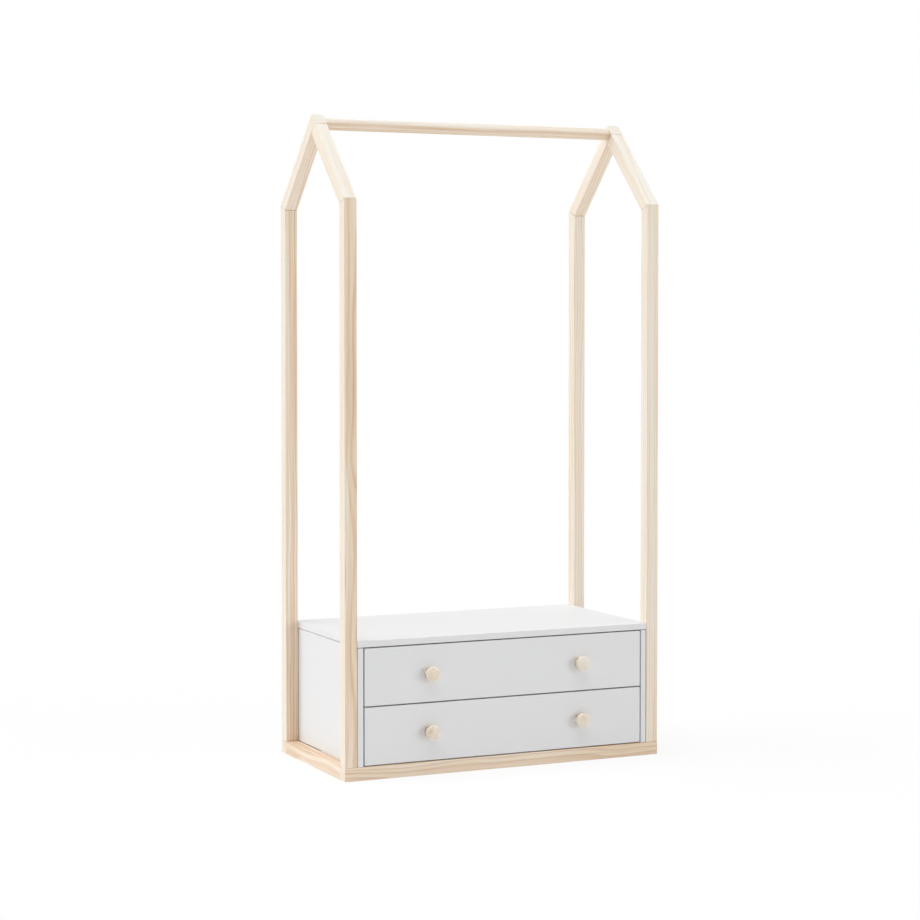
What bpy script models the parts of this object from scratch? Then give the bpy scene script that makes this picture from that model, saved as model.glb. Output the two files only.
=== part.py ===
"""Open children's wardrobe with two drawers.

Two house-shaped end frames of square pine stand on the corners of a low base frame. A round
hanging rail joins their peaks. A painted chest sits between the posts on the base frame and
holds two inset drawers on telescopic runners, each with two turned knobs.

Metres, +Z up. +X is the wardrobe's right as seen by someone facing it, and -Y is its front.
The origin lies on the floor, under the middle of the whole, knobs included.
"""

import math
from dataclasses import dataclass

import bmesh
import bpy
from mathutils import Vector

# Overall sizes
WIDTH = 0.900
DEPTH = 0.450
EAVE_HEIGHT = 1.465
ROOF_ANGLE = math.radians(45)

# Square timber of the end frames and the base
TIMBER = 0.034
BASE_HEIGHT = 0.034
TIMBER_ARRIS = 0.0015
ARRIS_STEPS = 2

# Hanging rail
RAIL_RADIUS = 0.0155
RAIL_ARRIS = 0.001

# Chest
BOARD = 0.016
BOARD_ARRIS = 0.0008
BACK_SHEET = 0.003
BACK_RECESS = 0.001
FRONT_GAP = 0.003

# Drawers
FRONT_HEIGHT = 0.147
BOX_HEIGHT = 0.112
BOX_LENGTH = 0.400
BOX_BOARD = 0.012
BOX_LIFT = 0.018
BOTTOM_SHEET = 0.0032
BOTTOM_LIFT = 0.010
GROOVE_DEPTH = 0.005
SHEET_ARRIS = 0.0003

# Runners, which fill the gap between a drawer's side and the chest's side
RUNNER_WIDTH = 0.0127
RUNNER_HEIGHT = 0.035
RUNNER_LENGTH = BOX_LENGTH
RUNNER_SHEET = 0.0012
RUNNER_PLAY = 0.0004
RUNNER_LIFT = 0.045
RUNNER_SETBACK = 0.001
RUNNER_HEADROOM = 0.0016

# Knobs, whose profile is given as shares of the radius and of the reach from the front
KNOB_REACH = 0.0255
KNOB_RADIUS = 0.0195
KNOB_SPACING = 0.432
KNOB_PROFILE_SHARES = (
    (0.80, 0.0),
    (0.78, 0.08),
    (0.75, 0.20),
    (0.78, 0.33),
    (0.87, 0.46),
    (0.96, 0.58),
    (1.0, 0.68),
    (0.985, 0.78),
    (0.925, 0.87),
    (0.78, 0.94),
    (0.50, 0.985),
    (0.15, 1.0),
)

# Clearances
SEAT = 0.0003
OVERRUN = 0.001

# Dowels of the end frames
DOWEL_RADIUS = 0.004
DOWEL_LENGTH = 0.036
PEAK_WALL = 0.003

# Screws
RAIL_SCREW_RADIUS = 0.003
RAIL_SCREW_LENGTH = 0.050
RAIL_SCREW_IN_FRAME = 0.020
POST_SCREW_RADIUS = 0.003
POST_SCREW_LENGTH = 0.080
POST_SCREW_HEAD_RADIUS = 0.0055
POST_SCREW_HEAD_HEIGHT = 0.004
POST_SCREW_RECESS = 0.006
KNOB_SCREW_RADIUS = 0.002
KNOB_SCREW_LENGTH = 0.028
KNOB_SCREW_HEAD_RADIUS = 0.004
KNOB_SCREW_HEAD_HEIGHT = 0.002

# Facets of round pieces
RAIL_SIDES = 32
KNOB_SIDES = 28
FIXING_SIDES = 12
SMOOTH_ANGLE = math.radians(35)

# Places worked out from the sizes above
X_LEFT = -WIDTH / 2
X_RIGHT = WIDTH / 2
Y_FRONT = (KNOB_REACH - DEPTH) / 2
Y_BACK = Y_FRONT + DEPTH
Y_RIDGE = Y_FRONT + DEPTH / 2
PEAK_HEIGHT = EAVE_HEIGHT + DEPTH / 2 * math.tan(ROOF_ANGLE)
MITRE_ANGLE = (math.pi / 2 - ROOF_ANGLE) / 2
RAIL_CENTRE_Z = PEAK_HEIGHT - TIMBER / 2 / math.cos(ROOF_ANGLE)
TOP_UNDERSIDE = BASE_HEIGHT + 2 * FRONT_HEIGHT + 3 * FRONT_GAP
CHEST_TOP = TOP_UNDERSIDE + BOARD
CHEST_HALF = WIDTH / 2 - TIMBER
INNER_HALF = CHEST_HALF - BOARD
FRONT_HALF = INNER_HALF - FRONT_GAP
BOX_HALF = INNER_HALF - RUNNER_WIDTH
Y_BOX = Y_FRONT + BOARD
DRAWER_BASES = {
    "lower": BASE_HEIGHT + FRONT_GAP,
    "upper": BASE_HEIGHT + 2 * FRONT_GAP + FRONT_HEIGHT,
}
SIDES = {"left": -1, "right": 1}

# Finishes: base colour, roughness, metallic
FINISHES = {
    "pine": ((0.79, 0.62, 0.44), 0.50, 0.0),
    "painted_board": ((0.84, 0.84, 0.83), 0.42, 0.0),
    "knob_wood": ((0.83, 0.68, 0.48), 0.45, 0.0),
    "drawer_board": ((0.80, 0.72, 0.58), 0.50, 0.0),
    "hardboard": ((0.78, 0.76, 0.72), 0.60, 0.0),
    "dowel_beech": ((0.72, 0.52, 0.34), 0.60, 0.0),
    "runner_steel": ((0.62, 0.63, 0.65), 0.32, 1.0),
    "screw_steel": ((0.60, 0.58, 0.52), 0.35, 1.0),
}


@dataclass(frozen=True)
class Fixing:
    """A turned fixing and its bore, each as radius and distance from the surface inwards."""

    solid: tuple
    bore: tuple


def dowel(radius, length):
    """A plain dowel, measured from its end, in a bore with clearance all round."""
    solid = ((radius, 0), (radius, length))
    bore = ((radius + SEAT, -SEAT), (radius + SEAT, length + SEAT))
    return Fixing(solid, bore)


def pan_headed(radius, length, head_radius, head_height):
    """A screw whose flat head lies on the surface."""
    solid = (
        (head_radius, -head_height - SEAT),
        (head_radius, -SEAT),
        (radius, -SEAT),
        (radius, length - radius),
        (radius / 2, length),
    )
    bore = ((radius + SEAT, -OVERRUN), (radius + SEAT, length + SEAT))
    return Fixing(solid, bore)


def recessed(radius, length, head_radius, head_height, recess):
    """A screw whose flat head lies at the bottom of a recess."""
    head_foot = recess + head_height
    solid = (
        (head_radius, recess),
        (head_radius, head_foot),
        (radius, head_foot),
        (radius, recess + length - radius),
        (radius / 2, recess + length),
    )
    bore = (
        (head_radius + SEAT, -OVERRUN),
        (head_radius + SEAT, head_foot + SEAT),
        (radius + SEAT, head_foot + SEAT),
        (radius + SEAT, recess + length + SEAT),
    )
    return Fixing(solid, bore)


def clear_scene():
    """Removes whatever the scene holds."""
    for item in list(bpy.data.objects):
        bpy.data.objects.remove(item, do_unlink=True)


def finish_material(finish):
    """Returns the finish's material, made once."""
    material = bpy.data.materials.get(finish)
    if material is None:
        colour, roughness, metallic = FINISHES[finish]
        material = bpy.data.materials.new(finish)
        material.use_nodes = True
        shader = material.node_tree.nodes["Principled BSDF"]
        shader.inputs["Base Color"].default_value = (*colour, 1)
        shader.inputs["Roughness"].default_value = roughness
        shader.inputs["Metallic"].default_value = metallic
    return material


def add_object(name, bm, location, finish=None, parent=None, smooth=False):
    """Turns a bmesh, drawn round its own origin, into an object that stands at location."""
    bmesh.ops.recalc_face_normals(bm, faces=bm.faces)
    mesh = bpy.data.meshes.new(name)
    bm.to_mesh(mesh)
    bm.free()
    if smooth:
        mesh.shade_smooth()
        mesh.set_sharp_from_angle(angle=SMOOTH_ANGLE)
    item = bpy.data.objects.new(name, mesh)
    bpy.context.collection.objects.link(item)
    item.location = Vector(location)
    if parent is not None:
        item.parent = parent
        item.location = Vector(location) - parent.location
    if finish is not None:
        mesh.materials.append(finish_material(finish))
    return item


def add_empty(name, location):
    """Adds the empty that carries a moving body's pieces."""
    empty = bpy.data.objects.new(name, None)
    bpy.context.collection.objects.link(empty)
    empty.location = Vector(location)
    return empty


def cut(piece, cutter):
    """Cuts the cutter out of a piece."""
    modifier = piece.modifiers.new(cutter.name, "BOOLEAN")
    modifier.operation = "DIFFERENCE"
    modifier.solver = "EXACT"
    modifier.object = cutter


def add_cutter(name, bm, location, pieces, parent=None):
    """Adds a hidden cutter and cuts it out of each piece that it passes through."""
    cutter = add_object(name, bm, location, parent=parent)
    cutter.hide_render = True
    cutter.display_type = "WIRE"
    for piece in pieces:
        cut(piece, cutter)


def board(name, low, high, arris, finish, parent=None):
    """A flat board between two corners, with all its edges eased."""
    low, high = Vector(low), Vector(high)
    bm = bmesh.new()
    bmesh.ops.create_cube(bm, size=1)
    bmesh.ops.scale(bm, vec=high - low, verts=bm.verts)
    bmesh.ops.bevel(bm, geom=bm.edges[:], offset=arris, segments=1, profile=0.5, affect="EDGES")
    return add_object(name, bm, (low + high) / 2, finish, parent)


def rounded_section(half_width, half_height, radius):
    """Returns the outline of a rectangle whose corners are rounded by short arcs."""
    points = []
    for corner, (side, rise) in enumerate(((1, 1), (-1, 1), (-1, -1), (1, -1))):
        for step in range(ARRIS_STEPS + 1):
            angle = (corner + step / ARRIS_STEPS) * math.pi / 2
            across = side * (half_width - radius) + radius * math.cos(angle)
            up = rise * (half_height - radius) + radius * math.sin(angle)
            points.append((across, up))
    return points


def timber(name, centre, along, across, height, start, end):
    """A length of square timber with rounded long edges, cut off by a plane at each end.

    centre lies on its centre line, along and across are unit directions, height is its size
    square to both, and start and end are planes, each a point and a normal.
    """
    centre = Vector(centre)
    up = along.cross(across)
    bm = bmesh.new()
    rings = []
    for point, normal in (start, end):
        ring = []
        for offset, rise in rounded_section(TIMBER / 2, height / 2, TIMBER_ARRIS):
            base = centre + across * offset + up * rise
            reach = (Vector(point) - base).dot(normal) / along.dot(normal)
            ring.append(bm.verts.new(base + along * reach - centre))
        rings.append(ring)
    bridge_rings(bm, rings)
    return add_object(name, bm, centre, "pine")


def bridge_rings(bm, rings):
    """Joins rings of points one after another and closes the first and the last."""
    for near, far in zip(rings, rings[1:]):
        count = len(near)
        for index in range(count):
            following = (index + 1) % count
            bm.faces.new((near[index], near[following], far[following], far[index]))
    bm.faces.new(rings[0])
    bm.faces.new(rings[-1])


def add_turned(bm, profile, sides, origin, direction):
    """Turns a profile of radius and distance about a line from origin along direction."""
    turn = Vector(direction).to_track_quat("Z", "Y")
    rings = []
    for radius, distance in profile:
        ring = []
        for side in range(sides):
            angle = 2 * math.pi * side / sides
            point = Vector((radius * math.cos(angle), radius * math.sin(angle), distance))
            ring.append(bm.verts.new(turn @ point + Vector(origin)))
        rings.append(ring)
    bridge_rings(bm, rings)


def add_fixing(name, fixing, origin, direction, pieces, finish, parent=None):
    """Makes one fixing, from its point on the surface inwards, and bores what it passes through."""
    bm = bmesh.new()
    add_turned(bm, fixing.solid, FIXING_SIDES, (0, 0, 0), direction)
    add_object(name, bm, origin, finish, parent, smooth=True)
    bore = bmesh.new()
    add_turned(bore, fixing.bore, FIXING_SIDES, (0, 0, 0), direction)
    add_cutter(name + "_bore", bore, origin, pieces, parent)


def end_frame(side):
    """One house-shaped end frame: two posts, mitred at the eaves to two rafters.

    The back rafter runs on over the front one, and its end is cut flush with the front slope.
    """
    x = SIDES[side] * (WIDTH - TIMBER) / 2
    across = Vector((1, 0, 0))
    upright = Vector((0, 0, 1))
    foot = (Vector((x, 0, BASE_HEIGHT + SEAT)), upright)
    pieces = {}
    slopes = {}
    for face, sign, y_outer in (("front", 1, Y_FRONT), ("back", -1, Y_BACK)):
        y_centre = y_outer + sign * TIMBER / 2
        slope = Vector((0, sign * math.cos(ROOF_ANGLE), math.sin(ROOF_ANGLE)))
        outwards = Vector((0, -sign * math.sin(ROOF_ANGLE), math.cos(ROOF_ANGLE)))
        mitre_normal = Vector((0, sign * math.sin(MITRE_ANGLE), math.cos(MITRE_ANGLE)))
        eave = Vector((x, y_outer, EAVE_HEIGHT))
        slopes[face] = (eave, slope, outwards, mitre_normal)
        name = f"{side}_{face}_post"
        post_centre = (x, y_centre, BASE_HEIGHT)
        pieces[face + "_post"] = timber(
            name, post_centre, upright, across, TIMBER, foot, (eave, mitre_normal)
        )
    for face in ("front", "back"):
        eave, slope, outwards, mitre_normal = slopes[face]
        start = (eave + mitre_normal * SEAT, mitre_normal)
        if face == "back":
            end = (slopes["front"][0], slopes["front"][2])
        else:
            back_eave, _, back_outwards, _ = slopes["back"]
            end = (back_eave - back_outwards * (TIMBER + SEAT), back_outwards)
        centre = eave - outwards * TIMBER / 2
        pieces[face + "_rafter"] = timber(
            f"{side}_{face}_rafter", centre, slope, across, TIMBER, start, end
        )
    return pieces


def frame_dowels(side, frame):
    """The dowels across an end frame's eave mitres and in its peak joint."""
    x = SIDES[side] * (WIDTH - TIMBER) / 2
    fixing = dowel(DOWEL_RADIUS, DOWEL_LENGTH)
    drop = TIMBER / 2 * math.tan(MITRE_ANGLE)
    for face, inward, y_outer in (("front", 1, Y_FRONT), ("back", -1, Y_BACK)):
        normal = Vector((0, inward * math.sin(MITRE_ANGLE), math.cos(MITRE_ANGLE)))
        middle = Vector((x, y_outer + inward * TIMBER / 2, EAVE_HEIGHT - drop))
        origin = middle - normal * DOWEL_LENGTH / 2
        joined = [frame[face + "_post"], frame[face + "_rafter"]]
        add_fixing(f"{side}_{face}_eave_dowel", fixing, origin, normal, joined, "dowel_beech")
    slope = Vector((0, math.cos(ROOF_ANGLE), math.sin(ROOF_ANGLE)))
    depth = TIMBER / 2 - RAIL_SCREW_RADIUS - PEAK_WALL
    centre = Vector((x, Y_RIDGE, RAIL_CENTRE_Z))
    origin = centre - slope * (TIMBER / 2 / math.sin(2 * ROOF_ANGLE) - depth)
    joined = [frame["front_rafter"], frame["back_rafter"]]
    add_fixing(f"{side}_peak_dowel", fixing, origin, -slope, joined, "dowel_beech")


def hanging_rail(frames):
    """The round rail between the peaks and the headless screw that holds each of its ends."""
    half = WIDTH / 2 - TIMBER - SEAT
    bm = bmesh.new()
    profile = (
        (RAIL_RADIUS - RAIL_ARRIS, -half),
        (RAIL_RADIUS, RAIL_ARRIS - half),
        (RAIL_RADIUS, half - RAIL_ARRIS),
        (RAIL_RADIUS - RAIL_ARRIS, half),
    )
    add_turned(bm, profile, RAIL_SIDES, (0, 0, 0), (1, 0, 0))
    rail = add_object("hanging_rail", bm, (0, Y_RIDGE, RAIL_CENTRE_Z), "pine", smooth=True)
    fixing = dowel(RAIL_SCREW_RADIUS, RAIL_SCREW_LENGTH)
    for side, sign in SIDES.items():
        origin = (sign * (CHEST_HALF + RAIL_SCREW_IN_FRAME), Y_RIDGE, RAIL_CENTRE_Z)
        held = [rail, frames[side]["back_rafter"]]
        add_fixing(f"{side}_rail_screw", fixing, origin, (-sign, 0, 0), held, "screw_steel")


def base_frame():
    """Front and back rails of full width, with the two side rails between them."""
    width_way = Vector((1, 0, 0))
    depth_way = Vector((0, 1, 0))
    z = BASE_HEIGHT / 2
    left_end = ((X_LEFT, 0, z), width_way)
    right_end = ((X_RIGHT, 0, z), width_way)
    rails = {}
    for face, y in (("front", Y_FRONT + TIMBER / 2), ("back", Y_BACK - TIMBER / 2)):
        rails[face] = timber(
            f"base_{face}_rail", (0, y, z), width_way, depth_way, BASE_HEIGHT, left_end, right_end
        )
    front_end = ((0, Y_FRONT + TIMBER + SEAT, z), depth_way)
    back_end = ((0, Y_BACK - TIMBER - SEAT, z), depth_way)
    for side, sign in SIDES.items():
        x = sign * (WIDTH - TIMBER) / 2
        rails[side] = timber(
            f"base_{side}_rail", (x, Y_RIDGE, z), depth_way, width_way, BASE_HEIGHT, front_end, back_end
        )
    return rails


def post_screws(side, frame, rails):
    """The screws that come up through the base frame into an end frame's two posts."""
    fixing = recessed(
        POST_SCREW_RADIUS, POST_SCREW_LENGTH, POST_SCREW_HEAD_RADIUS, POST_SCREW_HEAD_HEIGHT,
        POST_SCREW_RECESS,
    )
    x = SIDES[side] * (WIDTH - TIMBER) / 2
    for face, y in (("front", Y_FRONT + TIMBER / 2), ("back", Y_BACK - TIMBER / 2)):
        held = [rails[face], frame[face + "_post"]]
        add_fixing(f"{side}_{face}_post_screw", fixing, (x, y, 0), (0, 0, 1), held, "screw_steel")


def chest_case():
    """The chest's boards: sides between the posts, bottom between the sides, top over all."""
    half = CHEST_HALF - SEAT
    rear = Y_BACK - BACK_RECESS - BACK_SHEET
    foot = BASE_HEIGHT + SEAT
    head = TOP_UNDERSIDE - SEAT
    low = (-half, Y_FRONT, TOP_UNDERSIDE)
    board("chest_top_panel", low, (half, Y_BACK, CHEST_TOP), BOARD_ARRIS, "painted_board")
    for side, sign in SIDES.items():
        near, far = sorted((sign * INNER_HALF, sign * half))
        low = (near, Y_FRONT, foot)
        board(f"chest_{side}_panel", low, (far, rear - SEAT, head), BOARD_ARRIS, "painted_board")
    low = (SEAT - INNER_HALF, Y_BOX + FRONT_GAP, foot)
    high = (INNER_HALF - SEAT, rear - SEAT, BASE_HEIGHT + BOARD)
    board("chest_bottom_panel", low, high, BOARD_ARRIS, "painted_board")
    high = (half, rear + BACK_SHEET, head)
    board("chest_back_panel", (-half, rear, foot), high, SHEET_ARRIS, "hardboard")


def drawer(level):
    """One drawer: inset front with two knobs, and a box whose bottom sits in grooves."""
    base = DRAWER_BASES[level]
    floor = base + BOX_LIFT
    sheet_foot = floor + BOTTOM_LIFT
    sheet_top = sheet_foot + BOTTOM_SHEET
    carrier = add_empty(f"{level}_drawer_slide", (0, Y_FRONT, base + FRONT_HEIGHT / 2))
    front = board(
        f"{level}_drawer_front", (-FRONT_HALF, Y_FRONT, base), (FRONT_HALF, Y_BOX, base + FRONT_HEIGHT),
        BOARD_ARRIS, "painted_board", carrier,
    )
    y_near = Y_BOX + SEAT
    y_far = Y_BOX + BOX_LENGTH
    sides = []
    for side, sign in SIDES.items():
        near, far = sorted((sign * (BOX_HALF - BOX_BOARD), sign * BOX_HALF))
        sides.append(
            board(
                f"{level}_drawer_{side}_side", (near, y_near, floor), (far, y_far, floor + BOX_HEIGHT),
                BOARD_ARRIS, "drawer_board", carrier,
            )
        )
    back_half = BOX_HALF - BOX_BOARD - SEAT
    board(
        f"{level}_drawer_back",
        (-back_half, y_far - BOX_BOARD, sheet_top + SEAT),
        (back_half, y_far, floor + BOX_HEIGHT),
        BOARD_ARRIS, "drawer_board", carrier,
    )
    sheet_half = BOX_HALF - BOX_BOARD + GROOVE_DEPTH - SEAT
    sheet_near = Y_BOX - GROOVE_DEPTH + SEAT
    board(
        f"{level}_drawer_bottom", (-sheet_half, sheet_near, sheet_foot), (sheet_half, y_far, sheet_top),
        SHEET_ARRIS, "hardboard", carrier,
    )
    groove(level, carrier, sheet_foot, y_far, [front, *sides])
    for side in SIDES:
        knob(level, side, front, carrier)


def groove(level, carrier, sheet_foot, y_far, pieces):
    """Cuts the groove for a drawer's bottom into its front and sides."""
    half = BOX_HALF - BOX_BOARD + GROOVE_DEPTH
    y_near = Y_BOX - GROOVE_DEPTH
    length = y_far + OVERRUN - y_near
    height = BOTTOM_SHEET + 2 * SEAT
    bm = bmesh.new()
    bmesh.ops.create_cube(bm, size=1)
    bmesh.ops.scale(bm, vec=(2 * half, length, height), verts=bm.verts)
    centre = (0, y_near + length / 2, sheet_foot + BOTTOM_SHEET / 2)
    add_cutter(f"{level}_drawer_groove", bm, centre, pieces, carrier)


def knob(level, side, front, carrier):
    """One turned knob at the front's mid height, with the screw that holds it from inside."""
    bm = bmesh.new()
    length = KNOB_REACH - SEAT
    profile = [(KNOB_RADIUS * radius, SEAT + length * reach) for radius, reach in KNOB_PROFILE_SHARES]
    add_turned(bm, profile, KNOB_SIDES, (0, 0, 0), (0, -1, 0))
    x = SIDES[side] * KNOB_SPACING / 2
    z = DRAWER_BASES[level] + FRONT_HEIGHT / 2
    turned = add_object(
        f"{level}_{side}_knob", bm, (x, Y_FRONT, z), "knob_wood", carrier, smooth=True
    )
    fixing = pan_headed(
        KNOB_SCREW_RADIUS, KNOB_SCREW_LENGTH, KNOB_SCREW_HEAD_RADIUS, KNOB_SCREW_HEAD_HEIGHT
    )
    name = f"{level}_{side}_knob_screw"
    add_fixing(name, fixing, (x, Y_BOX, z), (0, -1, 0), [front, turned], "screw_steel", carrier)


def channel(name, sign, web, lip, half_height, z, parent=None):
    """A steel channel along the depth, whose web and lips lie at distances from the chest's side.

    web is the outer face of its web and lip the end of its flanges, both measured from the
    chest side's inner face towards the drawer.
    """
    facing = 1 if lip > web else -1
    inner = web + facing * RUNNER_SHEET
    inner_height = half_height - RUNNER_SHEET
    outline = (
        (web, -half_height), (lip, -half_height), (lip, -inner_height), (inner, -inner_height),
        (inner, inner_height), (lip, inner_height), (lip, half_height), (web, half_height),
    )
    bm = bmesh.new()
    rings = []
    for y in (0, RUNNER_LENGTH):
        rings.append([bm.verts.new((-sign * distance, y, height)) for distance, height in outline])
    bridge_rings(bm, rings)
    location = (sign * INNER_HALF, Y_BOX + RUNNER_SETBACK, z)
    return add_object(name, bm, location, "runner_steel", parent)


def runners(level):
    """The two telescopic runners of a drawer, each of three nested channels."""
    z = DRAWER_BASES[level] + BOX_LIFT + RUNNER_LIFT
    carrier = bpy.data.objects[f"{level}_drawer_slide"]
    middle_carrier = add_empty(f"{level}_runner_slide", (0, Y_BOX + RUNNER_SETBACK, z))
    lip = RUNNER_WIDTH - SEAT - RUNNER_SHEET - RUNNER_PLAY
    middle_web = SEAT + RUNNER_SHEET + RUNNER_HEADROOM
    nesting = RUNNER_SHEET + RUNNER_PLAY
    half_height = RUNNER_HEIGHT / 2
    for side, sign in SIDES.items():
        name = f"{level}_{side}_runner"
        channel(name + "_cabinet_member", sign, SEAT, lip, half_height, z)
        channel(name + "_middle_member", sign, middle_web, lip, half_height - nesting, z, middle_carrier)
        drawer_web = RUNNER_WIDTH - SEAT
        drawer_height = half_height - 2 * nesting
        drawer_name = name + "_drawer_member"
        channel(drawer_name, sign, drawer_web, middle_web + nesting, drawer_height, z, carrier)


def main():
    """Builds the wardrobe from the floor up."""
    clear_scene()
    rails = base_frame()
    frames = {side: end_frame(side) for side in SIDES}
    for side, frame in frames.items():
        frame_dowels(side, frame)
        post_screws(side, frame, rails)
    hanging_rail(frames)
    chest_case()
    for level in DRAWER_BASES:
        drawer(level)
        runners(level)


main()
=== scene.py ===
"""Looks of an open children's wardrobe with two drawers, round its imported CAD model.

Two house-shaped end frames of pale pine stand on a low pine base and carry a round hanging rail.
A chest of white painted board sits between the posts. It holds two drawers on telescopic runners,
each with two turned knobs. Metres, +Z up, and the front faces -Y, as in the CAD model.
"""

import logging
import math
from dataclasses import dataclass, replace
from enum import Enum
from typing import Any, Dict, List, Optional, Sequence, Tuple, Union

import bpy
import numpy as np
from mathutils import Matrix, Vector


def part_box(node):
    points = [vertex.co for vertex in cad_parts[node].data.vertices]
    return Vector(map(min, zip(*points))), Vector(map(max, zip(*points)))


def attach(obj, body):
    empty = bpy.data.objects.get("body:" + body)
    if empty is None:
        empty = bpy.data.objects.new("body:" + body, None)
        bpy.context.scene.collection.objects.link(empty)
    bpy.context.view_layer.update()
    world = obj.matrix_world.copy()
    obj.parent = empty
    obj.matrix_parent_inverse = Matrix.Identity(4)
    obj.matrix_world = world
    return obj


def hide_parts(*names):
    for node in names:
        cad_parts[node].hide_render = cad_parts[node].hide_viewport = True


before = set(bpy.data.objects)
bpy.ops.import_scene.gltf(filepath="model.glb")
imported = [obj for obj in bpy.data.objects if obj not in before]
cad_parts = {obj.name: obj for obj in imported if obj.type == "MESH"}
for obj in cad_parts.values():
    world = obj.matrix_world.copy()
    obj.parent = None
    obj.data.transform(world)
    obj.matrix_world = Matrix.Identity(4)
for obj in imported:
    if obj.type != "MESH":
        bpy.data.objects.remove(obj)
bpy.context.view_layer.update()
LOG = logging.getLogger("wardrobe")

Pair = Tuple[float, float]
Triple = Tuple[float, float, float]
Point = Union[Triple, np.ndarray]
# A closed shape's points, as rings, points in a ring, and coordinates
Rings = np.ndarray
WIDTH_WAY: Triple = (1.0, 0.0, 0.0)
DEPTH_WAY: Triple = (0.0, 1.0, 0.0)
HEIGHT_WAY: Triple = (0.0, 0.0, 1.0)
FRONT_WAY: Triple = (0.0, -1.0, 0.0)
NO_TRIM: Triple = (0.0, 0.0, 0.0)
WHITE = (1.0, 1.0, 1.0, 1.0)
SHARP_ANGLE = math.radians(40)


class Side(Enum):
    """An end of the wardrobe, seen from the front, with its sign along X."""

    LEFT = -1
    RIGHT = 1


class Face(Enum):
    """The front or the back, with the sign along Y of the way in from it."""

    FRONT = 1
    BACK = -1


class Level(Enum):
    """A drawer's level in the chest."""

    LOWER = "lower"
    UPPER = "upper"


class Slot(Enum):
    """The record's material slot names for the pieces made here; nothing here gives them to the
    pieces.
    """

    PINE = "pine"
    PAINT = "painted_board"
    KNOB = "knob_wood"
    RUNNER = "runner_steel"
    SCREW = "screw_steel"


def word(choice: Enum) -> str:
    """Returns the choice's name as it stands in the names of nodes."""
    return choice.name.lower()


# Shader maths


class Value:
    """An output of a shader node, whose operators add Math nodes."""

    def __init__(self, graph: "Graph", socket: bpy.types.NodeSocket) -> None:
        """Wraps one output socket of a node in the graph."""
        self.graph = graph
        self.socket = socket

    def maths(self, operation: str, *operands: "Operand") -> "Value":
        """Adds a Math node on the operands and returns its result."""
        return self.graph.node(
            "ShaderNodeMath", {"operation": operation}, dict(enumerate(operands))
        )

    def __add__(self, other: "Operand") -> "Value":
        """self + other."""
        return self.maths("ADD", self, other)

    __radd__ = __add__

    def __sub__(self, other: "Operand") -> "Value":
        """self - other."""
        return self.maths("SUBTRACT", self, other)

    def __rsub__(self, other: "Operand") -> "Value":
        """other - self."""
        return self.maths("SUBTRACT", other, self)

    def __mul__(self, other: "Operand") -> "Value":
        """self * other."""
        return self.maths("MULTIPLY", self, other)

    __rmul__ = __mul__

    def __truediv__(self, other: "Operand") -> "Value":
        """self / other."""
        return self.maths("DIVIDE", self, other)

    def __rtruediv__(self, other: "Operand") -> "Value":
        """other / self."""
        return self.maths("DIVIDE", other, self)

    def __abs__(self) -> "Value":
        """The size of self without its sign."""
        return self.maths("ABSOLUTE", self)

    def root(self) -> "Value":
        """Returns the square root."""
        return self.maths("SQRT", self)

    def part(self) -> "Value":
        """Returns what is left after the whole number below."""
        return self.maths("FRACT", self)

    def whole(self) -> "Value":
        """Returns the whole number below."""
        return self.maths("FLOOR", self)

    def larger(self, other: "Operand") -> "Value":
        """Returns the larger of two values."""
        return self.maths("MAXIMUM", self, other)

    def step(self, low: float, high: float) -> "Value":
        """Returns 0 below low, 1 above high, and a smooth rise between them."""
        sockets = {"Value": self, "From Min": low, "From Max": high}
        settings = {"interpolation_type": "SMOOTHSTEP"}
        return self.graph.node("ShaderNodeMapRange", settings, sockets)


Operand = Union[Value, float]


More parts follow.
